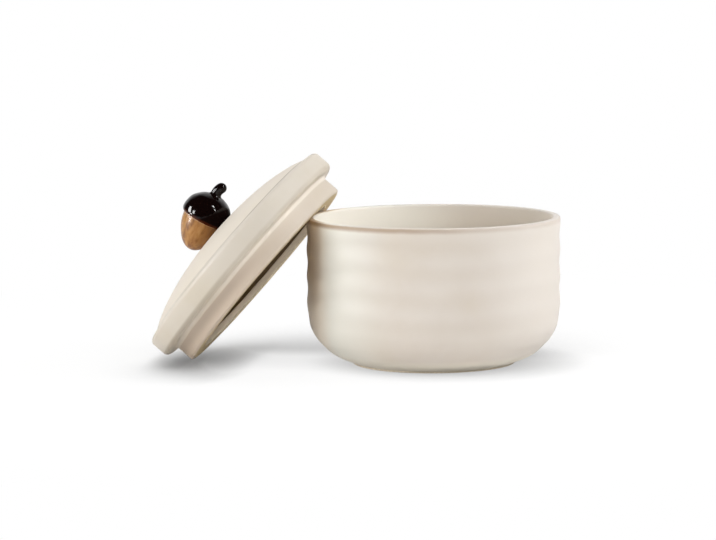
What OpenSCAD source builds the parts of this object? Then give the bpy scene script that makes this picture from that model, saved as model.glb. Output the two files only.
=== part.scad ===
// Lidded stoneware jar. The lid is off and leans on the bowl's rim, and its knob is an acorn.
// Millimetres. The origin is the centre of the foot on the table, +Z is up along the bowl's axis,
// and the lid leans on the -X side.

/* [Bowl] */
// Outside diameter over the crests of the throwing rings
bowl_d = 140.4; // [120:0.2:160]
// Height from the table to the top of the rim
bowl_h = 81.4; // [70:0.2:95]
// Thickness of the side
wall_t = 4.6; // [3.6:0.1:6]
// Radius of the round from the side to the foot, outside
belly_r = 30; // [26:0.5:34]
// How far the side has turned inwards where it starts to run straight to the foot, in degrees
belly_turn = 70; // [62:1:76]
// Radius of the round from the side to the floor, inside
inner_belly_r = 26; // [20:0.5:30]
// Thickness of the floor over the hollow of the foot
floor_t = 5.5; // [4:0.1:8]
// Radius of the rim's two edges
rim_round = 1.6; // [0.8:0.1:1.7]

/* [Throwing rings] */
// Height of the plain side under the rim's round
rim_land = 4.7; // [2:0.1:12]
// Depth of the hollow between two crests
ring_depth = 0.55; // [0.2:0.05:1.2]
// Number of hollows
ring_count = 4; // [2:1:4]
// Height of the lowest crest
ring_start = 17.5; // [8:0.5:20]

/* [Foot] */
// Outside diameter of the foot ring
foot_d = 90; // [80:1:96]
// Width of the foot ring
foot_w = 7; // [4:0.5:12]
// Height of the foot ring
foot_h = 1; // [0.6:0.1:3]
// Depth of the hollow inside the foot ring
foot_hollow = 2; // [0.8:0.1:3]

/* [Lid] */
// How far the lid's edge stays inside the bowl's outside
lid_inset = 0.1; // [0:0.1:2]
// Play between the flange and the inside of the bowl, all round
lid_play = 3.2; // [1.5:0.1:5]
// Depth of the flange below the seat
flange_h = 11.5; // [8:0.1:15]
// Thickness of the flange
flange_t = 11.9; // [7:0.1:15]
// Height of the straight lip inside the flange
lip_h = 4.2; // [1:0.1:5]
// How far the lip stands in from the hollow above it
lip_step = 2.2; // [0.5:0.1:4]
// Radius of the flange's edges
flange_round = 0.8; // [0.4:0.1:1.2]
// Rise of the seat from the flange to the band
seat_rise = 0.3; // [0.1:0.1:2]
// Radius of the hollow round between the flange and the seat
root_round = 2; // [0.5:0.1:2.5]
// Height of the band above the flange's root
band_h = 10.5; // [7:0.1:16]
// Radius of the band's lower edge
band_low_round = 3; // [1:0.1:3.4]
// Radius of the band's upper edge
band_top_round = 2.5; // [1:0.1:4]
// Width of the sloping shoulder inside the band
shoulder_w = 6.7; // [5:0.1:10]
// Slope of the shoulder, in degrees
shoulder_slope = 12; // [6:0.5:20]
// Rise of the dome over the shoulder
dome_rise = 11.5; // [6:0.5:16]
// Where the dome's ellipse starts, in degrees: a small angle makes a fuller dome
dome_start = 28; // [15:1:50]
// Thickness of the lid at its middle
crown_t = 7; // [5:0.5:10]

/* [Lean] */
// Tilt of the leaning lid from level, in degrees
lid_tilt = 49.5; // [45:0.5:56]
// Gap between the leaning lid and the rim
lean_gap = 0.3; // [0.2:0.05:0.6]

/* [Acorn] */
// Greatest diameter of the cup
cap_d = 28.2; // [26:0.2:32]
// Height of the cup
cap_h = 15; // [12:0.5:18]
// Height of the cup's widest place above its edge
cap_belly = 2.4; // [1.6:0.2:4]
// How far the cup draws in at its edge
cap_tuck = 0.5; // [0.2:0.1:1]
// Greatest diameter of the nut
nut_d = 24.8; // [20:0.2:25]
// Length of the nut below the cup
nut_l = 19.4; // [16:0.2:24]
// Fullness of the nut's flank: 2 is an ellipse, and less is more pointed
nut_power = 1.7; // [1.4:0.1:2.6]
// Diameter of the stem
stem_d = 5.4; // [4:0.1:6]
// How deep the stem's shoulder sinks into the cup
stem_sink = 0.5; // [0.3:0.1:1]
// Diameter of the stem's peg
peg_d = 3.2; // [2.4:0.1:3.6]
// Length of the stem's peg below the shoulder
peg_h = 2; // [1.5:0.1:3]
// Play around the stem and its peg
peg_play = 0.1; // [0.05:0.05:0.2]
// Radius of the stem's bend
stem_bend_r = 10; // [7:0.5:14]
// Angle of the stem's bend, in degrees
stem_bend = 30; // [15:1:60]
// Lift of the stem end from the lid, in degrees
acorn_lift = 14.5; // [10:0.5:20]
// Place of the cup's edge up the slope from the lid's middle
acorn_x = 1.8; // [-2:0.2:6]
// How deep the cup beds into the lid
acorn_bed = 3.1; // [1.5:0.1:3.6]

/* [Hidden] */
$fn = 96;
arc_steps = 12;
edge_steps = 5;
steps_per_ring = 10;

// Bowl
bowl_r = bowl_d / 2;
inner_r = bowl_r - wall_t;
belly_foot_r = bowl_r - belly_r * (1 - cos(belly_turn));
belly_z = foot_h + max(0, belly_foot_r - foot_d / 2) * tan(90 - belly_turn) + belly_r * sin(belly_turn);
floor_z = foot_hollow + floor_t;
foot_r = foot_d / 2;
ring_pitch = (bowl_h - rim_round - rim_land - ring_start) / ring_count;
ring_from = asin(max(0, (belly_z - ring_start) / belly_r));

// Lid, in its own frame: the flange's root is at z = 0
lid_r = bowl_r - lid_inset;
flange_r = inner_r - lid_play;
mouth_r = flange_r - flange_t;
lip_top = lip_h - flange_h;
seat_slope = atan2(seat_rise, lid_r - flange_r);
crease_r = lid_r - shoulder_w;
shoulder_out = lid_r - band_top_round * (1 - sin(shoulder_slope));
crease_z = band_h + band_top_round * cos(shoulder_slope) + (shoulder_out - crease_r) * tan(shoulder_slope);
apex_z = crease_z + dome_rise;
dome_h = dome_rise / (1 - sin(dome_start));
hollow_h = apex_z - crown_t - lip_top;

// Lean: the flange's lowest edge is on the table, and the rim meets the mouth's edge at two points.
// Rounded edges are taken at the middle of their rounds.
half_round = 1 - cos(45);
rim_r = bowl_r - rim_round * half_round;
rim_z = bowl_h - rim_round * half_round;
edge_r = mouth_r + flange_round * half_round;
edge_h = flange_h - flange_round * half_round;
lean_z = (flange_r - flange_round) * sin(lid_tilt) + (flange_h - flange_round) * cos(lid_tilt) + flange_round;
rim_reach = (rim_z - lean_z + edge_h * cos(lid_tilt)) / sin(lid_tilt);
rim_side = sqrt(max(0, edge_r * edge_r - rim_reach * rim_reach));
rim_x = sqrt(rim_r * rim_r - rim_side * rim_side);
lean_x = rim_x + min(rim_reach, flange_r) * cos(lid_tilt) + edge_h * sin(lid_tilt) + lean_gap;

// Acorn
cap_r = cap_d / 2;
stem_r = stem_d / 2;
stem_z = cap_h - stem_sink;
acorn_z = apex_z - acorn_bed + cap_r * cos(acorn_lift) - cap_belly * sin(acorn_lift);

// Points on an arc, from one angle to another
function arc(x, z, r, from, to, steps) =
    [for (i = [0 : steps]) let (a = from + (to - from) * i / steps) [x + r * cos(a), z + r * sin(a)]];

// Points on an upright ellipse, from one angle to another
function oval(z, rx, rz, from, to, steps) =
    [for (i = [0 : steps]) let (a = from + (to - from) * i / steps) [rx * cos(a), z + rz * sin(a)]];

// Radius of the side at a height, without its rings
function side_r(z) =
    z >= belly_z ? bowl_r : bowl_r - belly_r + sqrt(belly_r * belly_r - (belly_z - z) * (belly_z - z));

// Depth of the throwing rings at a height
function ring_cut(z) = ring_depth * (1 - cos(360 * (z - ring_start) / ring_pitch)) / 2;

// Half section of the bowl, from the foot's hollow round the outside to the floor
function bowl_section() = concat(
    [[0, foot_hollow], [foot_r - foot_w, foot_hollow], [foot_r - foot_w, 0], [foot_r, 0], [foot_r, foot_h]],
    arc(bowl_r - belly_r, belly_z, belly_r, -belly_turn, -ring_from, arc_steps),
    [for (i = [1 : ring_count * steps_per_ring])
        let (z = ring_start + i * ring_pitch / steps_per_ring) [side_r(z) - ring_cut(z), z]],
    arc(bowl_r - rim_round, bowl_h - rim_round, rim_round, 0, 90, edge_steps),
    arc(inner_r + rim_round, bowl_h - rim_round, rim_round, 90, 180, edge_steps),
    arc(inner_r - inner_belly_r, floor_z + inner_belly_r, inner_belly_r, 0, -90, arc_steps),
    [[0, floor_z]]
);

// Half section of the lid, from the middle of its hollow round the flange to the top of the dome
function lid_section() = concat(
    oval(lip_top, mouth_r + lip_step, hollow_h, 90, 0, arc_steps),
    [[mouth_r, lip_top]],
    arc(mouth_r + flange_round, flange_round - flange_h, flange_round, 180, 270, edge_steps),
    arc(flange_r - flange_round, flange_round - flange_h, flange_round, -90, 0, edge_steps),
    arc(flange_r + root_round, -root_round, root_round, 180, 90 + seat_slope, edge_steps),
    arc(lid_r - band_low_round, seat_rise + band_low_round, band_low_round, seat_slope - 90, 0, edge_steps),
    arc(lid_r - band_top_round, band_h, band_top_round, 0, 90 - shoulder_slope, edge_steps),
    oval(apex_z - dome_h, crease_r / cos(dome_start), dome_h, dome_start, 90, arc_steps)
);

// Half section of the nut, from its flat top to its tip
function nut_section() = concat(
    [[0, 0]],
    [for (i = [0 : arc_steps]) let (a = 90 * i / arc_steps)
        [nut_d / 2 * cos(a), -nut_l * pow(sin(a), 2 / nut_power)]]
);

// Half section of the stem's round end
function stem_end() = concat([[0, 0]], arc(0, 0, stem_r, 0, 90, edge_steps));

// Half section of the cup, from its flat underside to its top
function cap_section() = concat(
    [[0, 0]],
    [for (i = [0 : edge_steps]) let (z = cap_belly * i / edge_steps)
        [cap_r - cap_tuck * pow(1 - z / cap_belly, 2), z]],
    [for (p = oval(cap_belly, cap_r, cap_h - cap_belly, 0, 90, arc_steps)) if (p[1] > cap_belly) p]
);

module lid_form() {
    rotate_extrude() polygon(lid_section());
}

// From the lid's own frame to its leaning place
module lean() {
    translate([-lean_x, 0, lean_z]) rotate([0, -lid_tilt, 0]) children();
}

// From the acorn's own frame to its place on the lid, with its stem along +Z
module on_lid() {
    translate([acorn_x, 0, acorn_z]) rotate([0, 90 - acorn_lift, 0]) children();
}

// A clay form of the acorn, bedded on the dome
module bedded() {
    lean() difference() {
        on_lid() children();
        lid_form();
    }
}

module bowl() {
    color("#e0d8c8") rotate_extrude() polygon(bowl_section());
}

module lid() {
    color("#e3dbcc") lean() lid_form();
}

module acorn_nut() {
    color("#b0844f") bedded() rotate_extrude() polygon(nut_section());
}

module acorn_cap() {
    color("#22130f") bedded() difference() {
        rotate_extrude() polygon(cap_section());
        translate([0, 0, stem_z]) cylinder(r = stem_r + peg_play, h = cap_h);
        translate([0, 0, stem_z - peg_h - peg_play]) cylinder(r = peg_d / 2 + peg_play, h = cap_h);
    }
}

module acorn_stem() {
    color("#22130f") lean() on_lid() union() {
        translate([0, 0, stem_z - peg_h]) cylinder(d = peg_d, h = peg_h + peg_d / 4);
        translate([stem_bend_r, 0, stem_z]) rotate([90, 0, 0]) rotate([0, 0, 180 - stem_bend]) {
            rotate_extrude(angle = stem_bend) translate([stem_bend_r, 0]) circle(r = stem_r);
            translate([stem_bend_r, 0, 0]) rotate([90, 0, 0]) rotate_extrude() polygon(stem_end());
        }
    }
}

bowl();
lid();
acorn_nut();
acorn_cap();
acorn_stem();
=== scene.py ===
# Lidded stoneware jar. The lid is off and leans on the bowl's rim, and its knob is an acorn.
import math

import bpy
from mathutils import Matrix, Vector


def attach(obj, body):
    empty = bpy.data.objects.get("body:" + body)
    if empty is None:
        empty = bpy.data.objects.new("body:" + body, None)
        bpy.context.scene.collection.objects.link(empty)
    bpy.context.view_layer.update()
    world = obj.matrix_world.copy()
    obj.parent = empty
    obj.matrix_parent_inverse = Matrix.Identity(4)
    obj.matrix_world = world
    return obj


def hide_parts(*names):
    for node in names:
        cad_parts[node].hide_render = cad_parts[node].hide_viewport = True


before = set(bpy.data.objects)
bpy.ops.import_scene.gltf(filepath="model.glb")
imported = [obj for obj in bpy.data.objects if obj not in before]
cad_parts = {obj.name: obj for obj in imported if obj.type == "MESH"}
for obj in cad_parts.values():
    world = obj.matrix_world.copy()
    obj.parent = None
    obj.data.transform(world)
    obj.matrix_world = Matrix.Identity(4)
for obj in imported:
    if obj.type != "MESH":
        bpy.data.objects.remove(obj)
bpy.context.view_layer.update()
mm = 0.001  # sizes below are in millimetres where no other unit is named
weldGap = 0.002  # mm, points closer than this are merged
print("frame loaded:", ", ".join(sorted(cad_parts)))


# Small helpers

def hexColour(code):  # sRGB hex to the linear colour that shaders take
    parts = [int(code[i:i + 2], 16) / 255 for i in (1, 3, 5)]
    return [p / 12.92 if p <= 0.04045 else ((p + 0.055) / 1.055) ** 2.4 for p in parts] + [1.0]


def addNode(tree, kind, settings=None, links=None):  # one node, its settings and what feeds it
    made = tree.nodes.new(kind)
    for key, value in (settings or {}).items():
        if isinstance(key, int) or key in made.inputs:
            made.inputs[key].default_value = value
        else:
            setattr(made, key, value)
    for key, source in (links or {}).items():
        tree.links.new(source, made.inputs[key])
    return made


def letGo():  # nothing selected, object mode
    if bpy.context.object and bpy.context.object.mode != "OBJECT":
        bpy.ops.object.mode_set(mode="OBJECT")
    bpy.ops.object.select_all(action="DESELECT")


def arcPoints(x, z, radius, start, end, steps):  # points on an arc, angles in degrees
    turns = [math.radians(start + (end - start) * i / steps) for i in range(steps + 1)]
    return [(x + radius * math.cos(t), z + radius * math.sin(t)) for t in turns]


def ovalPoints(z, width, height, start, end, steps):  # points on an ellipse round the axis, angles in degrees
    turns = [math.radians(start + (end - start) * i / steps) for i in range(steps + 1)]
    return [(width * math.cos(t), z + height * math.sin(t)) for t in turns]


def throwForm(name, outline, segments, finished=True):  # a disc drawn up loop by loop, as clay on a wheel
    letGo()
    radius, height = outline[0]
    bpy.ops.mesh.primitive_circle_add(vertices=segments, radius=radius * mm, fill_type="TRIFAN")
    form = bpy.context.object
    form.name = name
    bpy.ops.object.mode_set(mode="EDIT")
    bpy.ops.mesh.select_all(action="SELECT")
    bpy.ops.transform.translate(value=(0, 0, height * mm))
    for (oldRadius, oldHeight), (radius, height) in zip(outline, outline[1:]):
        bpy.ops.mesh.extrude_region_move(
            TRANSFORM_OT_translate={"value": (0, 0, (height - oldHeight) * mm)})
        grow = radius / oldRadius
        bpy.ops.transform.resize(value=(grow, grow, 1), center_override=(0, 0, height * mm))
    if finished:
        closeForm()
    return form


def closeForm():  # merge, point the faces outwards and leave edit mode
    bpy.ops.mesh.select_all(action="SELECT")
    bpy.ops.mesh.remove_doubles(threshold=weldGap * mm)
    bpy.ops.mesh.normals_make_consistent(inside=False)
    bpy.ops.object.mode_set(mode="OBJECT")


def handMade(form, depth, size):  # slow unevenness that the hand leaves in clay, inwards only
    swell = bpy.data.textures.new(form.name + "Swell", "CLOUDS")
    swell.noise_scale = size * mm
    swell.noise_depth = 1
    uneven = form.modifiers.new("uneven", "DISPLACE")
    uneven.texture = swell
    uneven.texture_coords = "LOCAL"
    uneven.strength = depth * mm
    uneven.mid_level = 1.0
    bpy.ops.object.modifier_apply(modifier="uneven")


def place(form, matrix, angle):  # put a finished form in its place, with the place in its mesh
    letGo()
    form.select_set(True)
    bpy.context.view_layer.objects.active = form
    form.matrix_world = matrix
    bpy.ops.object.transform_apply(location=True, rotation=True, scale=True)
    bpy.ops.object.shade_smooth_by_angle(angle=math.radians(angle))


def dress(form, material, body, node):  # finish, body, CAD node and slot of a piece
    form.data.materials.clear()
    form.data.materials.append(material)
    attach(form, body)
    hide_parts(node)


# Camera, at the photograph's place

cameraSpec = {
    "distance": 1801.6, "height": 262.87, "side": 7.1,  # mm, mm and degrees round the bowl
    "turn": 8.428, "down": 6.693, "roll": -0.421,  # degrees
    "lens": 164.85, "sensor": 36,  # mm
    "clipEnd": 100,  # metres
}
cameraSide = math.radians(cameraSpec["side"])
cameraData = bpy.data.cameras.new("camera")
cameraData.lens = cameraSpec["lens"]
cameraData.sensor_width = cameraSpec["sensor"]
cameraData.clip_end = cameraSpec["clipEnd"]
camera = bpy.data.objects.new("camera", cameraData)
bpy.context.scene.collection.objects.link(camera)
camera.matrix_world = (
    Matrix.Translation(Vector((
        cameraSpec["distance"] * math.sin(cameraSide),
        -cameraSpec["distance"] * math.cos(cameraSide),
        cameraSpec["height"])) * mm)
    @ Matrix.Rotation(math.radians(cameraSpec["turn"]), 4, "Z")
    @ Matrix.Rotation(math.radians(90 - cameraSpec["down"]), 4, "X")
    @ Matrix.Rotation(math.radians(cameraSpec["roll"]), 4, "Z"))
bpy.context.scene.camera = camera
print("camera set")


# Bowl

bowlSpec = {
    "radius": 70.2, "height": 81.4, "wall": 4.6, "rimRound": 1.6,
    "bellyRadius": 30, "bellyTurn": 70, "innerBelly": 26, "floor": 7.5,
    "ringStart": 20, "ringEnd": 77.6, "rings": 4, "ringDepth": 0.55,
    "lowRing": 0.3, "lowRingFrom": 33, "lowRingTo": 57,  # depth, and degrees down the belly's round
    "footRadius": 45, "footWidth": 7, "footHeight": 1, "footHollow": 2,
    "footEdge": 0.3, "footCove": 0.5,  # soft edges of the turned foot
    "uneven": (0.22, 60), "smooth": 40,  # depth and size, degrees
    "segments": 192, "edgeSteps": 4, "runSteps": 6, "bellySteps": 28,
    "ringSteps": 14, "rimSteps": 8, "innerSteps": 18,
}


def bowlOutline(b):
    innerRadius = b["radius"] - b["wall"]
    footInner = b["footRadius"] - b["footWidth"]
    slope = math.radians(90 - b["bellyTurn"])  # of the straight run to the foot
    bellyCentre = b["radius"] - b["bellyRadius"]
    runEnd = bellyCentre + b["bellyRadius"] * math.sin(slope)
    runHeight = b["footHeight"] + (runEnd - b["footRadius"]) * math.tan(slope)
    bellyHeight = runHeight + b["bellyRadius"] * math.cos(slope)
    edge, cove, edgeSteps, runSteps = b["footEdge"], b["footCove"], b["edgeSteps"], b["runSteps"]
    coveHeight = b["footHeight"] + cove * (1 - math.sin(slope)) * math.tan(slope) - cove * math.cos(slope)
    outline = [(footInner, b["footHollow"]), (footInner, edge)]
    outline += arcPoints(footInner + edge, edge, edge, 180, 270, edgeSteps)[1:]
    outline += arcPoints(b["footRadius"] - edge, edge, edge, 270, 360, edgeSteps)
    outline += arcPoints(b["footRadius"] + cove, coveHeight, cove, 180, 180 - b["bellyTurn"], edgeSteps)
    outline += [(b["footRadius"] + (runEnd - b["footRadius"]) * i / runSteps,
                 b["footHeight"] + (runHeight - b["footHeight"]) * i / runSteps) for i in range(1, runSteps)]
    ringFrom = math.degrees(math.asin((bellyHeight - b["ringStart"]) / b["bellyRadius"]))
    for i in range(b["bellySteps"] + 1):  # the lowest ring is on the belly's round
        turn = b["bellyTurn"] + (ringFrom - b["bellyTurn"]) * i / b["bellySteps"]
        wave = min(1, max(0, (turn - b["lowRingFrom"]) / (b["lowRingTo"] - b["lowRingFrom"])))
        reach = b["bellyRadius"] - b["lowRing"] * (1 - math.cos(2 * math.pi * wave)) / 2
        turn = math.radians(turn)
        outline.append((bellyCentre + reach * math.cos(turn), bellyHeight - reach * math.sin(turn)))
    steps = b["rings"] * b["ringSteps"]
    for i in range(1, steps + 1):  # soft throwing rings
        z = b["ringStart"] + (b["ringEnd"] - b["ringStart"]) * i / steps
        under = max(0, bellyHeight - z)
        side = bellyCentre + math.sqrt(b["bellyRadius"] ** 2 - under ** 2)
        hollow = b["ringDepth"] * (1 - math.cos(2 * math.pi * b["rings"] * i / steps)) / 2
        outline.append((side - hollow, z))
    rim = b["rimRound"]
    outline += arcPoints(b["radius"] - rim, b["height"] - rim, rim, 0, 90, b["rimSteps"])
    outline += arcPoints(innerRadius + rim, b["height"] - rim, rim, 90, 180, b["rimSteps"])
    top, low = b["height"] - rim, b["floor"] + b["innerBelly"]
    outline += [(innerRadius, top + (low - top) * i / runSteps) for i in range(1, runSteps)]
    outline += arcPoints(innerRadius - b["innerBelly"], low, b["innerBelly"], 0, -90, b["innerSteps"])
    return outline


bowl = throwForm("bowl_form", bowlOutline(bowlSpec), bowlSpec["segments"])
handMade(bowl, *bowlSpec["uneven"])
place(bowl, Matrix.Identity(4), bowlSpec["smooth"])
print("bowl thrown:", len(bowl.data.polygons), "faces")


# Lid, in its own frame with the flange's root at height 0, then leaned on the rim

lidSpec = {
    "radius": 70.1, "flangeRadius": 62.4, "flange": 11.5, "flangeThick": 11.9, "rootRound": 2,
    "lip": 3.8, "lipStep": 2.2, "lipEdge": 0.5, "flangeRound": 0.8, "flangeEdge": 1.8, "seatRise": 0.3,
    "band": 10.5, "lowRound": 3, "topRound": 2.5, "shoulder": 6.7, "shoulderSlope": 12,
    "domeRise": 11.5, "domeStart": 28, "crown": 7,
    "groove": ((1.4, 0), (0.5, 0.15)),  # distance out from the dome, and depth, of the fine line turned there
    "hollowTop": 88, "domeTop": 89,  # degrees, just short of the axis
    "uneven": (0.22, 55), "smooth": 40,  # depth and size, degrees
    "segments": 192, "ovalSteps": 26, "lipSteps": 4, "innerSteps": 5,
    "outerSteps": 6, "rootSteps": 7, "topSteps": 9,
    "tilt": 49.5, "leanX": -102.787, "leanZ": 54.590,
}


def lidOutline(s):  # the outline, and the height of the dome's top
    mouth = s["flangeRadius"] - s["flangeThick"]
    lipTop = s["lip"] - s["flange"]
    slope = math.radians(s["shoulderSlope"])
    crease = s["radius"] - s["shoulder"]
    shoulderOut = s["radius"] - s["topRound"] * (1 - math.sin(slope))
    creaseHeight = s["band"] + s["topRound"] * math.cos(slope) + (shoulderOut - crease) * math.tan(slope)
    apex = creaseHeight + s["domeRise"]
    domeHeight = s["domeRise"] / (1 - math.sin(math.radians(s["domeStart"])))
    domeRadius = crease / math.cos(math.radians(s["domeStart"]))
    seatSlope = math.degrees(math.atan2(s["seatRise"], s["radius"] - s["flangeRadius"]))
    lip, edge, outer = s["lipEdge"], s["flangeRound"], s["flangeEdge"]
    root, low, top = s["rootRound"], s["lowRound"], s["topRound"]
    outline = ovalPoints(lipTop, mouth + s["lipStep"], apex - s["crown"] - lipTop, s["hollowTop"], 0,
                         s["ovalSteps"])
    outline += arcPoints(mouth + lip, lipTop - lip, lip, 90, 180, s["lipSteps"])
    outline += arcPoints(mouth + edge, edge - s["flange"], edge, 180, 270, s["innerSteps"])
    outline += arcPoints(s["flangeRadius"] - outer, outer - s["flange"], outer, -90, 0, s["outerSteps"])
    # cove under the seat, then the band's low and top rounds
    outline += arcPoints(s["flangeRadius"] + root, -root, root, 180, 90 + seatSlope, s["rootSteps"])
    outline += arcPoints(s["radius"] - low, s["seatRise"] + low, low, seatSlope - 90, 0, s["rootSteps"])
    outline += arcPoints(s["radius"] - top, s["band"], top, 0, 90 - s["shoulderSlope"], s["topSteps"])
    outline += [(crease + out, creaseHeight - out * math.tan(slope) - deep) for out, deep in s["groove"]]
    outline += ovalPoints(apex - domeHeight, domeRadius, domeHeight, s["domeStart"], s["domeTop"],
                          s["ovalSteps"])
    return outline, apex


lean = (Matrix.Translation(Vector((lidSpec["leanX"], 0, lidSpec["leanZ"])) * mm)
        @ Matrix.Rotation(math.radians(-lidSpec["tilt"]), 4, "Y"))
lidPoints, lidApex = lidOutline(lidSpec)
lid = throwForm("lid_form", lidPoints, lidSpec["segments"])
handMade(lid, *lidSpec["uneven"])
place(lid, lean, lidSpec["smooth"])
print("lid thrown and leaned:", len(lid.data.polygons), "faces")


# Acorn knob: nut, cup and stem along one axis, laid on the dome with the stem up the slope

acornSpec = {
    "lift": 14.5, "along": 1.8, "bed": 3.1,  # degrees off the dome, mm up the slope, mm into the dome
    "segments": 96, "smooth": 50,  # smooth in degrees
}
nutSpec = {
    "radius": 12.4, "length": 19.4, "power": 1.7, "steps": 30,
    "neck": ((0.6, 1.2), (0.1, 0.5)),  # in from the side, and height, inside the cup
    "uneven": (0.3, 9),  # depth and size
}
cupSpec = {
    "radius": 14.1, "height": 15, "belly": 2.4, "tuck": 0.5, "edge": 0.45,
    "inside": ((2.2, 0.9), (1.4, 0.7), (1.0, 0.15)),  # in from the edge, and height
    "underBelly": (0.9, 1.4, 1.9),  # heights of the loops there
    "edgeTurn": (260, 350), "top": 88,  # degrees, the top just short of the axis
    "edgeSteps": 5, "topSteps": 26,
    "uneven": (0.35, 5),  # depth and size
    "dip": 3, "dipBelow": 1.2, "dipSpread": 9,  # degrees, mm, mm
}
stemSpec = {
    "radius": 3.05, "sink": 0.5, "bendRadius": 7, "bend": 36, "bendSteps": 8, "segments": 40,
    "flare": ((0.9, -1.2), (0.75, -0.1), (0.3, 0.35), (0, 0.9)),  # out from the side, height over the foot
    "tipTurns": (22, 44, 62, 76, 86),  # degrees of the loops on the round tip
}
acornLift = math.radians(acornSpec["lift"])
acornUp = (lidApex - acornSpec["bed"] + cupSpec["radius"] * math.cos(acornLift)
           - cupSpec["belly"] * math.sin(acornLift))
onLid = (lean @ Matrix.Translation(Vector((acornSpec["along"], 0, acornUp)) * mm)
         @ Matrix.Rotation(math.radians(90 - acornSpec["lift"]), 4, "Y"))


def nutOutline(n):
    outline = [(n["radius"] - inset, height) for inset, height in n["neck"]]
    for i in range(n["steps"]):
        t = math.radians(90 * i / n["steps"])
        outline.append((n["radius"] * math.cos(t), -n["length"] * math.sin(t) ** (2 / n["power"])))
    return outline


def cupOutline(c):
    wide, belly, edge = c["radius"], c["belly"], c["edge"]
    lip = wide - c["tuck"]
    outline = [(lip - inset, height) for inset, height in c["inside"]]
    outline += arcPoints(lip - edge, edge, edge, *c["edgeTurn"], c["edgeSteps"])
    outline += [(wide - c["tuck"] * (1 - z / belly) ** 2, z) for z in c["underBelly"]]
    outline += ovalPoints(belly, wide, c["height"] - belly, 0, c["top"], c["topSteps"])
    return outline


nut = throwForm("acorn_nut_form", nutOutline(nutSpec), acornSpec["segments"])
handMade(nut, *nutSpec["uneven"])
place(nut, onLid, acornSpec["smooth"])

cup = throwForm("acorn_cup_form", cupOutline(cupSpec), acornSpec["segments"])
handMade(cup, *cupSpec["uneven"])
bpy.ops.object.mode_set(mode="EDIT")  # the cup's edge dips where it was pressed to the lid
bpy.ops.mesh.select_mode(type="VERT")
bpy.ops.mesh.select_all(action="DESELECT")
bpy.ops.object.mode_set(mode="OBJECT")
for corner in cup.data.vertices:
    corner.select = corner.co.z < cupSpec["dipBelow"] * mm
bpy.ops.object.mode_set(mode="EDIT")
bpy.ops.transform.rotate(value=-math.radians(cupSpec["dip"]), orient_axis="Y",
                         center_override=(-cupSpec["radius"] * mm, 0, 0), use_proportional_edit=True,
                         proportional_edit_falloff="SMOOTH", proportional_size=cupSpec["dipSpread"] * mm)
bpy.ops.object.mode_set(mode="OBJECT")
place(cup, onLid, acornSpec["smooth"])

stemFoot = cupSpec["height"] - stemSpec["sink"]
stemPoints = [(stemSpec["radius"] + out, stemFoot + up) for out, up in stemSpec["flare"]]
stem = throwForm("acorn_stem_form", stemPoints, stemSpec["segments"], finished=False)
stemTop = stemPoints[-1][1]
bendTurn = math.radians(stemSpec["bend"])  # the disc on top is still selected, and turns over
bpy.ops.mesh.spin(steps=stemSpec["bendSteps"], angle=-bendTurn, axis=(0, 1, 0),
                  center=(stemSpec["bendRadius"] * mm, 0, stemTop * mm))
tipWay = Vector((math.sin(bendTurn), 0, math.cos(bendTurn)))
tipCentre = Vector((stemSpec["bendRadius"] * (1 - math.cos(bendTurn)) * mm, 0,
                    (stemTop + stemSpec["bendRadius"] * math.sin(bendTurn)) * mm))
oldTurn = 0
for degrees in stemSpec["tipTurns"]:  # round end
    turn = math.radians(degrees)
    step = stemSpec["radius"] * (math.sin(turn) - math.sin(oldTurn)) * mm
    shrink = math.cos(turn) / math.cos(oldTurn)
    tipCentre = tipCentre + tipWay * step
    bpy.ops.mesh.extrude_region_move(TRANSFORM_OT_translate={"value": tipWay * step})
    bpy.ops.transform.resize(value=(shrink, shrink, shrink), center_override=tipCentre)
    oldTurn = turn
closeForm()
place(stem, onLid, acornSpec["smooth"])
print("acorn laid on the lid")


# Finishes. Patterns read the piece's own coordinates, turned to its own axis by a Mapping node.

def newFinish(name, spot, turn):  # an empty material with its tree, shader and place on the piece
    material = bpy.data.materials.new(name)
    material.use_nodes = True
    tree = material.node_tree
    shader = tree.nodes["Principled BSDF"]
    where = addNode(tree, "ShaderNodeTexCoord")
    own = addNode(tree, "ShaderNodeMapping", {
        "vector_type": "TEXTURE", "Location": spot, "Rotation": (0, turn, 0)},
        {"Vector": where.outputs["Object"]})
    return material, tree, shader, own.outputs["Vector"]


def spanMask(tree, value, span):  # 1 between the two middle lengths of span, 0 past the outer two, in mm
    mask = None
    for start, full in (span[:2], span[:1:-1]):  # the low end, then the high end from outside in
        if start is None:
            continue
        side = addNode(tree, "ShaderNodeMapRange", {
            "From Min": start * mm, "From Max": full * mm, "interpolation_type": "SMOOTHSTEP"},
            {"Value": value}).outputs["Result"]
        mask = side if mask is None else addNode(
            tree, "ShaderNodeMath", {"operation": "MULTIPLY"}, {0: mask, 1: side}).outputs[0]
    return mask


satinSpec = {  # what the glaze of the bowl and the lid share
    "cloud": 30, "peel": 2.4, "grit": 0.7, "wobble": 0.3, "wobbleSize": 9,  # mm
    "cloudDetail": 3.0, "fineDetail": 2.0,  # octaves of the noise
    "stops": (0.3, 0.5, 0.72),  # of the warm, cream and pale colours in the clouds
    "sand": "#93805f", "sandSpan": (0.35, 0.65), "sandShare": 0.35,
    "roughness": 0.54, "roughnessSpread": 0.06, "bareRoughness": 0.85, "ior": 1.5,
    "skin": (0.2, 0.12), "tooth": (0.6, 0.1),  # strength, and depth in mm
}
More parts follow.
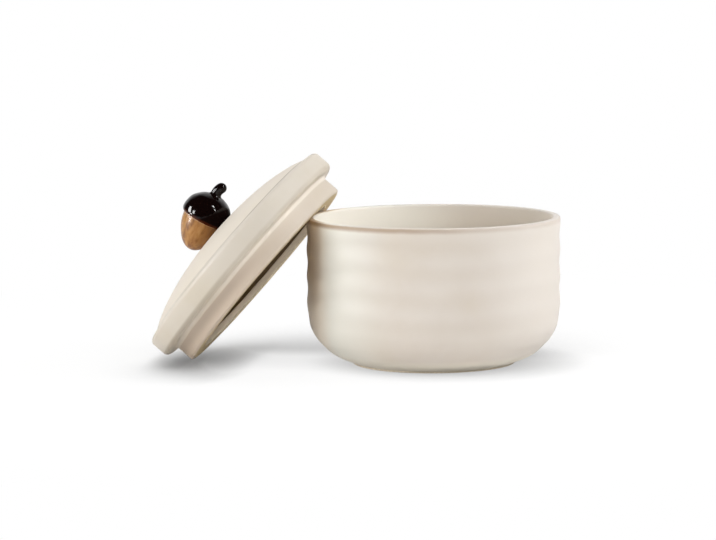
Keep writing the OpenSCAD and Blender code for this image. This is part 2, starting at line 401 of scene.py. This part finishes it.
# A zone is a colour, how much of it, heights, radii, whether it is bare clay, and how it fades along X:
# full at the first length, the share left at the second
bowlGlazeSpec = {
    "cream": "#e2d9cf", "warm": "#dfd5c8", "pale": "#e5ddd4",
    "ringShadeTint": "#d3c7b8", "ringShadeShare": 0.25,  # painted shade in the hollows of the rings: its colour, and how much of it
    "ringCrest": 20, "ringPitch": 14.4,
    "ringHeights": (17, 20, 76, 79), "ringRadii": (66.2, 66.8, None, None),
    "zones": [
        ("#e8e6dc", 0.9, (2, 4, None, None), None, False, (-50, -8, 0)),  # painted light, paler on the left where the lamps fall
        ("#e1dad2", 0.8, (2, 4, None, None), None, False, (60, 22, 0)),  # painted light on the right too
        ("#f2e2ce", 0.8, (2, 4, None, None), None, False, (-62, -48, 0)),  # painted warm shade towards the left edge
        ("#c8b196", 0.9, (28, 54, None, None), (66.2, 66.8, None, None), False, (-64, -54, 0)),  # painted shade on the upper left edge
        # painted light inside, on the floor, the round and the wall, full on the left and fading to the
        # right, and painted shade on the wall's right
        ("#f8f4ea", 1.0, (6.8, 7.3, None, None), (None, None, 50, 55), False, (-30, 30, 0.15)),
        ("#f8f4ea", 1.0, (11, 12, None, None), (None, None, 58, 60), False, (-30, 30, 0.15)),
        ("#f8f4ea", 1.0, (18, 20, None, None), (None, None, 65.9, 66.6), False, (-30, 25, 0)),
        ("#cbc0b0", 0.4, (18, 20, None, None), (None, None, 65.9, 66.6), False, (45, -15, 0)),
        # brown where the glaze thins on the rim's edge, and painted shade under the rim, stronger on the left
        ("#9f7e59", 0.8, (77.6, 80.0, 80.6, 81.3), (68.9, 69.4, None, None), False, (-50, 60, 0.25)),
        ("#f0eadd", 0.9, (None, None, 4.5, 9), None, False, None),  # painted bounce light, paler on the belly round the foot
        ("#e6dac6", 1.0, (None, None, 0.8, 1.2), None, True, None),  # wiped foot
    ],
}
lidGlazeSpec = {
    "cream": "#dcd3c5", "warm": "#d9cfbe", "pale": "#dfd7cb",
    "zones": [
        ("#dccab7", 0.95, (None, None, -5, 0.3), None, False, (-20, 70, 0.3)),  # painted warm shade on the flange, strongest at the low end
        ("#c8b7a6", 0.9, (-9.0, -4.0, -2.6, -1.8), None, False, (-10, 30, 0.1)),  # painted shade on the flange under the cove
        # painted light on a strip in the cove
        ("#f2e9dc", 0.7, (-2.4, -1.6, -0.5, 0.1), (None, None, 64.6, 65.2), False, (40, -20, 0.3)),
        # painted shade on the band's lower edge
        ("#a89a84", 0.42, (0.3, 0.9, 2.0, 3.6), (67, 68, None, None), False, (-50, 60, 0.4)),
        ("#ede3d4", 0.8, (8, 9, None, None), (None, None, 62.6, 63.2), False, None),  # painted light, paler on the dome
        ("#a99b82", 0.6, (8, 9, None, None), (62.6, 63.2, 63.8, 64.6), False, (40, -10, 0)),  # line round it
        ("#dfcba4", 1.0, (None, None, -11.0, -10.6), (None, None, 59, 61), True, None),  # wiped standing edge
        ("#fbedd6", 1.0, (None, None, -7.8, -7.6), (None, None, 51.3, 51.7), False, None),  # painted light, a pale lip
        ("#715c3c", 1.0, (-7.7, -7.5, 13.3, 15.8), (None, None, 53, 53.6), False, None),  # painted shade, dark brown in the hollow
    ],
}


def satinGlaze(name, g, spot, turn):
    # Satin stoneware glaze: soft broad sheen, quiet cream clouds, brown where it thins on an edge, painted
    # light and shade in some zones, bare gritty clay where it was wiped
    material, tree, shader, own = newFinish(name, spot, turn)
    axes = addNode(tree, "ShaderNodeSeparateXYZ", {}, {"Vector": own})
    flat = addNode(tree, "ShaderNodeCombineXYZ", {}, {"X": axes.outputs["X"], "Y": axes.outputs["Y"]})
    length = addNode(tree, "ShaderNodeVectorMath", {"operation": "LENGTH"}, {0: flat.outputs[0]})
    radius = length.outputs["Value"]
    cloud = addNode(tree, "ShaderNodeTexNoise", {
        "Scale": 1 / (g["cloud"] * mm), "Detail": g["cloudDetail"]}, {"Vector": own})
    base = addNode(tree, "ShaderNodeValToRGB", {}, {"Fac": cloud.outputs["Fac"]})
    base.color_ramp.elements.new(g["stops"][1])
    for stop, at, tint in zip(base.color_ramp.elements, g["stops"], (g["warm"], g["cream"], g["pale"])):
        stop.position = at
        stop.color = hexColour(tint)
    colour = base.outputs["Color"]
    wobble = addNode(tree, "ShaderNodeTexNoise", {
        "Scale": 1 / (g["wobbleSize"] * mm), "Detail": g["fineDetail"]}, {"Vector": own})
    shift = addNode(tree, "ShaderNodeMapRange", {
        "To Min": -g["wobble"] * mm, "To Max": g["wobble"] * mm}, {"Value": wobble.outputs["Fac"]})
    height = addNode(tree, "ShaderNodeMath", {"operation": "ADD"},
                     {0: axes.outputs["Z"], 1: shift.outputs["Result"]}).outputs[0]
    if "ringShadeTint" in g:  # painted shade in the hollows of the throwing rings
        phase = addNode(tree, "ShaderNodeMath", {
            "operation": "MULTIPLY_ADD", 1: 2 * math.pi / (g["ringPitch"] * mm),
            2: math.pi - 2 * math.pi * g["ringCrest"] / g["ringPitch"]}, {0: axes.outputs["Z"]})
        wave = addNode(tree, "ShaderNodeMath", {"operation": "COSINE"}, {0: phase.outputs[0]})
        paintedShade = addNode(tree, "ShaderNodeMapRange", {"From Min": -1.0, "To Max": g["ringShadeShare"]},
                         {"Value": wave.outputs[0]}).outputs["Result"]
        for value, span in ((height, g["ringHeights"]), (radius, g["ringRadii"])):
            paintedShade = addNode(tree, "ShaderNodeMath", {"operation": "MULTIPLY"},
                             {0: paintedShade, 1: spanMask(tree, value, span)}).outputs[0]
        colour = addNode(tree, "ShaderNodeMix", {"data_type": "RGBA", 7: hexColour(g["ringShadeTint"])},
                         {0: paintedShade, 6: colour}).outputs[2]
    bare = None
    for tint, amount, heights, radii, isBare, fading in g["zones"]:
        mask = addNode(tree, "ShaderNodeMath", {"operation": "MULTIPLY", 1: amount},
                       {0: spanMask(tree, height, heights)}).outputs[0]
        if radii:
            mask = addNode(tree, "ShaderNodeMath", {"operation": "MULTIPLY"},
                           {0: mask, 1: spanMask(tree, radius, radii)}).outputs[0]
        if fading:
            fullAt, weakAt, shareLeft = fading
            left = addNode(tree, "ShaderNodeMapRange", {
                "From Min": fullAt * mm, "From Max": weakAt * mm, "To Min": 1.0, "To Max": shareLeft,
                "interpolation_type": "SMOOTHSTEP"}, {"Value": axes.outputs["X"]})
            mask = addNode(tree, "ShaderNodeMath", {"operation": "MULTIPLY"},
                           {0: mask, 1: left.outputs["Result"]}).outputs[0]
        colour = addNode(tree, "ShaderNodeMix", {"data_type": "RGBA", 7: hexColour(tint)},
                         {0: mask, 6: colour}).outputs[2]
        if isBare:
            bare = mask if bare is None else addNode(
                tree, "ShaderNodeMath", {"operation": "MAXIMUM"}, {0: bare, 1: mask}).outputs[0]
    grit = addNode(tree, "ShaderNodeTexNoise", {
        "Scale": 1 / (g["grit"] * mm), "Detail": g["fineDetail"]}, {"Vector": own})
    sandy = addNode(tree, "ShaderNodeMapRange", {
        "From Min": g["sandSpan"][0], "From Max": g["sandSpan"][1], "To Max": g["sandShare"]},
        {"Value": grit.outputs["Fac"]})
    tooth = addNode(tree, "ShaderNodeMath", {"operation": "MULTIPLY"}, {0: sandy.outputs["Result"], 1: bare})
    colour = addNode(tree, "ShaderNodeMix", {"data_type": "RGBA", 7: hexColour(g["sand"])},
                     {0: tooth.outputs[0], 6: colour}).outputs[2]
    tree.links.new(colour, shader.inputs["Base Color"])
    peel = addNode(tree, "ShaderNodeTexNoise", {
        "Scale": 1 / (g["peel"] * mm), "Detail": g["fineDetail"]}, {"Vector": own})
    gloss = addNode(tree, "ShaderNodeMapRange", {
        "To Min": g["roughness"] - g["roughnessSpread"], "To Max": g["roughness"] + g["roughnessSpread"]},
        {"Value": peel.outputs["Fac"]})
    rough = addNode(tree, "ShaderNodeMix", {"data_type": "FLOAT", 3: g["bareRoughness"]},
                    {0: bare, 2: gloss.outputs["Result"]})
    tree.links.new(rough.outputs[0], shader.inputs["Roughness"])
    skin = addNode(tree, "ShaderNodeBump", {"Strength": g["skin"][0], "Distance": g["skin"][1] * mm},
                   {"Height": peel.outputs["Fac"]})
    rub = addNode(tree, "ShaderNodeBump", {"Strength": g["tooth"][0], "Distance": g["tooth"][1] * mm},
                  {"Height": tooth.outputs[0], "Normal": skin.outputs["Normal"]})
    tree.links.new(rub.outputs["Normal"], shader.inputs["Normal"])
    shader.inputs["IOR"].default_value = g["ior"]
    return material


lidSpot = lean.to_translation()
lidTurn = math.radians(-lidSpec["tilt"])
acornSpot = onLid.to_translation()
acornTurn = onLid.to_euler().y
bowlGlaze = satinGlaze("satin_glaze_bowl", {**satinSpec, **bowlGlazeSpec}, (0, 0, 0), 0)
lidGlaze = satinGlaze("satin_glaze_lid", {**satinSpec, **lidGlazeSpec}, lidSpot, lidTurn)


caramelSpec = {
    "honey": "#a26d31", "amber": "#80501c", "pale": "#b98648", "edge": "#cda98a", "shadeByLid": "#6a400d",
    "stops": (0.36, 0.47, 0.64),  # of the amber, honey and pale colours in the streaks
    "streakAcross": 2.8, "streakAlong": 26, "cloud": 7, "cloudShare": 0.2,  # mm, mm, mm, share
    "streakDetail": 3.0, "streakRough": 0.5, "streakBend": 0.3, "cloudDetail": 2.0,  # of the noise
    "shadeByLidSpan": (0, 10), "shadeByLidShare": 0.85,  # painted shade on the nut's side towards the lid: mm towards the lid, and its share
    "edgeSpan": (-1.5, -0.2), "edgeShare": 0.75,  # mm up from the cup's edge
    "skin": (0.4, 0.25),  # strength, and depth in mm
    "roughness": 0.34, "ior": 1.4, "coat": 0.25, "coatRoughness": 0.12,
}


def caramelGlaze(name, n):
    # Translucent caramel glaze over clay: streaks run down the nut, painted shade on its side towards the
    # lid, a wet coat on top
    material, tree, shader, own = newFinish(name, acornSpot, acornTurn)
    axes = addNode(tree, "ShaderNodeSeparateXYZ", {}, {"Vector": own})
    across, along = 1 / (n["streakAcross"] * mm), 1 / (n["streakAlong"] * mm)
    drawn = addNode(tree, "ShaderNodeMapping", {"Scale": (across, across, along)}, {"Vector": own})
    streak = addNode(tree, "ShaderNodeTexNoise", {
        "Scale": 1.0, "Detail": n["streakDetail"], "Roughness": n["streakRough"],
        "Distortion": n["streakBend"]}, {"Vector": drawn.outputs["Vector"]})
    cloud = addNode(tree, "ShaderNodeTexNoise", {
        "Scale": 1 / (n["cloud"] * mm), "Detail": n["cloudDetail"]}, {"Vector": own})
    both = addNode(tree, "ShaderNodeMix", {"data_type": "FLOAT", 0: n["cloudShare"]},
                   {2: streak.outputs["Fac"], 3: cloud.outputs["Fac"]})
    base = addNode(tree, "ShaderNodeValToRGB", {}, {"Fac": both.outputs[0]})
    base.color_ramp.elements.new(n["stops"][1])
    for stop, at, tint in zip(base.color_ramp.elements, n["stops"], (n["amber"], n["honey"], n["pale"])):
        stop.position = at
        stop.color = hexColour(tint)
    lidSide = addNode(tree, "ShaderNodeMapRange", {
        "From Min": n["shadeByLidSpan"][0] * mm, "From Max": n["shadeByLidSpan"][1] * mm, "To Max": n["shadeByLidShare"]},
        {"Value": axes.outputs["X"]})
    paintedShade = addNode(tree, "ShaderNodeMix", {"data_type": "RGBA", 7: hexColour(n["shadeByLid"])},
                     {0: lidSide.outputs["Result"], 6: base.outputs["Color"]})
    nearCup = addNode(tree, "ShaderNodeMapRange", {
        "From Min": n["edgeSpan"][0] * mm, "From Max": n["edgeSpan"][1] * mm, "To Max": n["edgeShare"]},
        {"Value": axes.outputs["Z"]})
    colour = addNode(tree, "ShaderNodeMix", {"data_type": "RGBA", 7: hexColour(n["edge"])},
                     {0: nearCup.outputs["Result"], 6: paintedShade.outputs[2]})
    tree.links.new(colour.outputs[2], shader.inputs["Base Color"])
    skin = addNode(tree, "ShaderNodeBump", {"Strength": n["skin"][0], "Distance": n["skin"][1] * mm},
                   {"Height": both.outputs[0]})
    tree.links.new(skin.outputs["Normal"], shader.inputs["Normal"])
    shader.inputs["Roughness"].default_value = n["roughness"]
    shader.inputs["IOR"].default_value = n["ior"]
    shader.inputs["Coat Weight"].default_value = n["coat"]
    shader.inputs["Coat Roughness"].default_value = n["coatRoughness"]
    return material


darkSpec = {
    "body": "#0e0504", "edge": "#4f2410",
    "lump": 3.2, "lumpDetail": 1.5, "skin": (0.4, 0.3),  # mm, octaves, then strength and depth in mm
    "wander": 0.5, "thinSpan": (1.3, -0.2), "thinShare": 0.8,  # mm, mm up from the cup's edge, share
    "dullSpan": (-2.5, -0.6), "sheen": (0.5, 0.04),  # mm of X less Z, and the specular level at each end
    "roughness": 0.07, "ior": 1.33,
}


def darkGlaze(name, d, onCup):
    # Thick dark brown glaze: nearly black and mirror-glossy, with soft lumps. On the cup it is redder where
    # it thins at the edge, and duller low down beside the lid.
    material, tree, shader, own = newFinish(name, acornSpot, acornTurn)
    lump = addNode(tree, "ShaderNodeTexNoise", {
        "Scale": 1 / (d["lump"] * mm), "Detail": d["lumpDetail"]}, {"Vector": own})
    skin = addNode(tree, "ShaderNodeBump", {"Strength": d["skin"][0], "Distance": d["skin"][1] * mm},
                   {"Height": lump.outputs["Fac"]})
    tree.links.new(skin.outputs["Normal"], shader.inputs["Normal"])
    shader.inputs["Base Color"].default_value = hexColour(d["body"])
    shader.inputs["Roughness"].default_value = d["roughness"]
    shader.inputs["IOR"].default_value = d["ior"]
    if onCup:
        axes = addNode(tree, "ShaderNodeSeparateXYZ", {}, {"Vector": own})
        shift = addNode(tree, "ShaderNodeMapRange", {
            "To Min": -d["wander"] * mm, "To Max": d["wander"] * mm}, {"Value": lump.outputs["Fac"]})
        # the level follows the cup's edge, which dips towards the lid
        level = addNode(tree, "ShaderNodeMath", {
            "operation": "MULTIPLY_ADD", 1: math.tan(math.radians(cupSpec["dip"]))},
            {0: axes.outputs["X"], 2: axes.outputs["Z"]})
        height = addNode(tree, "ShaderNodeMath", {"operation": "ADD"},
                         {0: level.outputs[0], 1: shift.outputs["Result"]})
        thin = addNode(tree, "ShaderNodeMapRange", {
            "From Min": d["thinSpan"][0] * mm, "From Max": d["thinSpan"][1] * mm, "To Max": d["thinShare"]},
            {"Value": height.outputs[0]})
        colour = addNode(tree, "ShaderNodeMix", {
            "data_type": "RGBA", 6: hexColour(d["body"]), 7: hexColour(d["edge"])},
            {0: thin.outputs["Result"]})
        tree.links.new(colour.outputs[2], shader.inputs["Base Color"])
        low = addNode(tree, "ShaderNodeMath", {"operation": "SUBTRACT"},
                      {0: axes.outputs["X"], 1: axes.outputs["Z"]})
        sheen = addNode(tree, "ShaderNodeMapRange", {
            "From Min": d["dullSpan"][0] * mm, "From Max": d["dullSpan"][1] * mm, "To Min": d["sheen"][0],
            "To Max": d["sheen"][1], "interpolation_type": "SMOOTHSTEP"}, {"Value": low.outputs[0]})
        tree.links.new(sheen.outputs["Result"], shader.inputs["Specular IOR Level"])
    return material


dress(bowl, bowlGlaze, "bowl", "bowl")
dress(lid, lidGlaze, "lid", "lid")
dress(nut, caramelGlaze("caramel_glaze", caramelSpec), "lid", "acorn_nut")
dress(cup, darkGlaze("dark_glaze_cup", darkSpec, True), "lid", "acorn_cap")
dress(stem, darkGlaze("dark_glaze_stem", darkSpec, False), "lid", "acorn_stem")
print("finishes on")


# Floor: a white table that the eye sees as white, with soft shadows where the jar is near it

stageSpec = {
    "size": 30, "bounce": "#f1efec", "gain": 1.15,  # metres; gain makes the lit floor white to the eye
    "lidEnd": (-118, -80),  # mm, where shadow under the lid's low end passes into shadow round the bowl
    "contactWay": ((-0.3, 0.7, 0.65), (-0.45, -0.1, 0.89)), "contact": (60, 33),  # ways and reaches in mm
    "contactSpan": ((0.35, 0.1), (0.88, 0.8)),  # openness that is darkest, and that is clear
    "contactDark": (0.37, 0.62), "contactDarkAt": (-90, -45),  # levels, mm
    "endDark": (0.2, 0.68), "endDarkAt": (-35, 8), "endLeft": (-148, -132),  # levels front and back, mm, mm
    "castWay": (0.0, -0.75, 0.66), "cast": 260, "castSpan": (0.3, 0.78), "castDark": 0.55,
    "castBack": (5, 50), "castFront": 0.2,  # mm, and the share of the cast shadow in front of them
    "castLid": (-125, -88), "castRest": 0.25,  # mm, and the share of it right of them
    "shadowShare": 0.1, "fade": (240, 420),  # share of lit floor, mm
    "samples": 12,
}
letGo()
bpy.ops.mesh.primitive_plane_add(size=stageSpec["size"], location=(0, 0, 0))
floor = bpy.context.object
floor.name = "floor"
floorMaterial = bpy.data.materials.new("white_table")
floorMaterial.use_nodes = True
floorTree = floorMaterial.node_tree
floorTree.nodes.clear()
rays = addNode(floorTree, "ShaderNodeLightPath")
seen = addNode(floorTree, "ShaderNodeMath", {"operation": "MAXIMUM"},
               {0: rays.outputs["Is Camera Ray"], 1: rays.outputs["Is Glossy Ray"]})
seenToo = addNode(floorTree, "ShaderNodeMath", {"operation": "MAXIMUM"},
                  {0: seen.outputs[0], 1: rays.outputs["Is Transmission Ray"]})
spot = addNode(floorTree, "ShaderNodeTexCoord").outputs["Object"]
spotAxes = addNode(floorTree, "ShaderNodeSeparateXYZ", {}, {"Vector": spot})

# Contact shadow: how closed in the floor is, seen one way at the lid's low end and another round the bowl
pastLidEnd = addNode(floorTree, "ShaderNodeMapRange", {
    "From Min": stageSpec["lidEnd"][0] * mm, "From Max": stageSpec["lidEnd"][1] * mm,
    "interpolation_type": "SMOOTHSTEP"}, {"Value": spotAxes.outputs["X"]}).outputs["Result"]
contactWay = addNode(floorTree, "ShaderNodeMix", {
    "data_type": "VECTOR", 4: stageSpec["contactWay"][0], 5: stageSpec["contactWay"][1]}, {0: pastLidEnd})
contactReach = addNode(floorTree, "ShaderNodeMapRange", {
    "To Min": stageSpec["contact"][0] * mm, "To Max": stageSpec["contact"][1] * mm}, {"Value": pastLidEnd})
nook = addNode(floorTree, "ShaderNodeAmbientOcclusion", {"samples": stageSpec["samples"]},
               {"Normal": contactWay.outputs[1], "Distance": contactReach.outputs["Result"]})
lidDark, bowlDark = stageSpec["contactDark"]
outerDark = addNode(floorTree, "ShaderNodeMapRange", {
    "From Min": stageSpec["endLeft"][0] * mm, "From Max": stageSpec["endLeft"][1] * mm,
    "To Min": stageSpec["endDark"][1], "To Max": lidDark}, {"Value": spotAxes.outputs["X"]})
nearDark = addNode(floorTree, "ShaderNodeMapRange", {
    "From Min": stageSpec["endDarkAt"][0] * mm, "From Max": stageSpec["endDarkAt"][1] * mm,
    "To Min": stageSpec["endDark"][0]},
    {"Value": spotAxes.outputs["Y"], "To Max": outerDark.outputs["Result"]})
endDark = addNode(floorTree, "ShaderNodeMapRange", {"To Max": lidDark},
                  {"Value": pastLidEnd, "To Min": nearDark.outputs["Result"]})
darkest = addNode(floorTree, "ShaderNodeMapRange", {
    "From Min": stageSpec["contactDarkAt"][0] * mm, "From Max": stageSpec["contactDarkAt"][1] * mm,
    "To Max": bowlDark, "interpolation_type": "SMOOTHSTEP"},
    {"Value": spotAxes.outputs["X"], "To Min": endDark.outputs["Result"]})
spanEnds = [addNode(floorTree, "ShaderNodeMapRange", {"To Min": atLid, "To Max": atBowl},
                    {"Value": pastLidEnd}).outputs["Result"] for atLid, atBowl in stageSpec["contactSpan"]]
contact = addNode(floorTree, "ShaderNodeMapRange", {}, {
    "Value": nook.outputs["AO"], "From Min": spanEnds[0], "From Max": spanEnds[1],
    "To Min": darkest.outputs["Result"]})

# Cast shadow: wide and weak, behind the jar and under the lid
castWay = addNode(floorTree, "ShaderNodeCombineXYZ", dict(zip("XYZ", stageSpec["castWay"])))
openness = addNode(floorTree, "ShaderNodeAmbientOcclusion", {
    "samples": stageSpec["samples"], "Distance": stageSpec["cast"] * mm}, {"Normal": castWay.outputs[0]})
cast = addNode(floorTree, "ShaderNodeMapRange", {
    "From Min": stageSpec["castSpan"][0], "From Max": stageSpec["castSpan"][1],
    "To Min": stageSpec["castDark"]}, {"Value": openness.outputs["AO"]})
farBack = addNode(floorTree, "ShaderNodeMapRange", {
    "From Min": stageSpec["castBack"][0] * mm, "From Max": stageSpec["castBack"][1] * mm,
    "To Min": stageSpec["castFront"], "interpolation_type": "SMOOTHSTEP"}, {"Value": spotAxes.outputs["Y"]})
underLid = addNode(floorTree, "ShaderNodeMapRange", {
    "From Min": stageSpec["castLid"][0] * mm, "From Max": stageSpec["castLid"][1] * mm, "To Min": 1.0,
    "To Max": stageSpec["castRest"], "interpolation_type": "SMOOTHSTEP"}, {"Value": spotAxes.outputs["X"]})
castShare = addNode(floorTree, "ShaderNodeMath", {"operation": "MAXIMUM"},
                    {0: farBack.outputs["Result"], 1: underLid.outputs["Result"]})
castLeft = addNode(floorTree, "ShaderNodeMix", {"data_type": "FLOAT", 2: 1.0},
                   {0: castShare.outputs[0], 3: cast.outputs["Result"]})
shade = addNode(floorTree, "ShaderNodeMath", {"operation": "MULTIPLY"},
                {0: contact.outputs["Result"], 1: castLeft.outputs[0]})

# The eye sees the shadows with a share of the lit floor, and the lamps' light bounces off a plain table
glow = addNode(floorTree, "ShaderNodeEmission", {"Color": (1, 1, 1, 1)}, {"Strength": shade.outputs[0]})
gain = stageSpec["gain"]
lit = addNode(floorTree, "ShaderNodeBsdfDiffuse", {"Color": (gain, gain, gain, 1)})
reach = addNode(floorTree, "ShaderNodeVectorMath", {"operation": "LENGTH"}, {0: spot})
away = addNode(floorTree, "ShaderNodeMapRange", {
    "From Min": stageSpec["fade"][0] * mm, "From Max": stageSpec["fade"][1] * mm,
    "To Min": 1 - stageSpec["shadowShare"], "interpolation_type": "SMOOTHSTEP"},
    {"Value": reach.outputs["Value"]})
eye = addNode(floorTree, "ShaderNodeMixShader", {},
              {0: away.outputs["Result"], 1: lit.outputs[0], 2: glow.outputs[0]})
table = addNode(floorTree, "ShaderNodeBsdfDiffuse", {"Color": hexColour(stageSpec["bounce"])})
both = addNode(floorTree, "ShaderNodeMixShader", {},
               {0: seenToo.outputs[0], 1: table.outputs[0], 2: eye.outputs[0]})
addNode(floorTree, "ShaderNodeOutputMaterial", {}, {"Surface": both.outputs[0]})
floor.data.materials.append(floorMaterial)
print("floor laid")


# Light: clay lamps show no reflection, glint lamps show only as one

lightSpec = [  # name, direction from the jar, distance, width and height in metres, watts, role
    ("ceiling", (-0.213, 0.382, 0.898), 1.5, 1.0, 1.0, 9.0, "clay"),
    ("rightCeiling", (0.760, 0.279, 0.584), 1.5, 0.9, 0.9, 9.7, "clay"),
    ("frontHigh", (0.05, -0.66, 0.75), 1.6, 0.9, 0.9, 0.6, "clay"),
    ("frontLow", (0.1445, -0.983, 0.114), 1.7, 0.16, 0.12, 4.8, "clay"),
    ("leftCeiling", (-0.7, -0.1, 0.7), 1.5, 0.8, 0.8, 0.5, "clay"),
    ("rightBehind", (0.93, 0.30, 0.22), 1.5, 0.8, 0.8, 2.3, "all"),
    ("leftWindow", (-0.845, -0.464, 0.282), 1.3, 0.6, 0.6, 8.8, "clay"),
    ("rightLampHigh", (0.618, -0.409, 0.669), 1.3, 0.4, 0.4, 4.6, "clay"),
    ("rightLampLow", (0.817, -0.482, 0.314), 1.3, 0.4, 0.4, 1.3, "clay"),
    ("leftGlint", (-0.923, -0.171, 0.345), 1.3, 0.30, 0.46, 12, "glint"),
    ("leftGlintLow", (-0.740, -0.580, 0.341), 1.3, 0.22, 0.30, 6, "glint"),
    ("nutGlint", (-0.947, -0.320, 0.039), 1.3, 0.16, 0.22, 5, "glint"),
    ("rightGlint", (0.606, -0.191, 0.772), 1.3, 0.14, 0.20, 5, "glint"),
    ("rightGlintLow", (0.751, -0.391, 0.532), 1.3, 0.14, 0.20, 3.5, "glint"),
]
skySpec = {
    "ambient": 0.02, "backdrop": (0.35, 0.75),  # level, and the Y of a mirrored ray where it turns white
    "jarMiddle": (-40, 0, 60),  # mm, where the lamps point
}
for name, way, distance, width, height, watts, role in lightSpec:
    lamp = bpy.data.lights.new(name, "AREA")
    lamp.shape = "RECTANGLE"
    lamp.size = width
    lamp.size_y = height
    lamp.energy = watts
    lampObject = bpy.data.objects.new(name, lamp)
    bpy.context.scene.collection.objects.link(lampObject)
    lampObject.location = Vector(skySpec["jarMiddle"]) * mm + Vector(way).normalized() * distance
    lampObject.rotation_euler = Vector(way).to_track_quat("Z", "Y").to_euler()
    lampObject.visible_camera = False
    lampObject.visible_diffuse = role != "glint"
    lampObject.visible_glossy = role != "clay"

world = bpy.data.worlds.new("studio")
bpy.context.scene.world = world
world.use_nodes = True
skyTree = world.node_tree
skyTree.nodes.clear()
skyRays = addNode(skyTree, "ShaderNodeLightPath")
skyWay = addNode(skyTree, "ShaderNodeTexCoord")
skyAxes = addNode(skyTree, "ShaderNodeSeparateXYZ", {}, {"Vector": skyWay.outputs["Generated"]})
behind = addNode(skyTree, "ShaderNodeMapRange", {
    "From Min": skySpec["backdrop"][0], "From Max": skySpec["backdrop"][1],
    "interpolation_type": "SMOOTHSTEP"}, {"Value": skyAxes.outputs["Y"]})
mirrored = addNode(skyTree, "ShaderNodeMath", {"operation": "MULTIPLY"},
                   {0: behind.outputs["Result"], 1: skyRays.outputs["Is Glossy Ray"]})
white = addNode(skyTree, "ShaderNodeMath", {"operation": "MAXIMUM"},
                {0: mirrored.outputs[0], 1: skyRays.outputs["Is Camera Ray"]})
strength = addNode(skyTree, "ShaderNodeMapRange", {"To Min": skySpec["ambient"]}, {"Value": white.outputs[0]})
sky = addNode(skyTree, "ShaderNodeBackground", {"Color": (1, 1, 1, 1)},
              {"Strength": strength.outputs["Result"]})
addNode(skyTree, "ShaderNodeOutputWorld", {}, {"Surface": sky.outputs[0]})
bpy.context.scene.view_settings.view_transform = "Standard"
print("lamps and sky set")
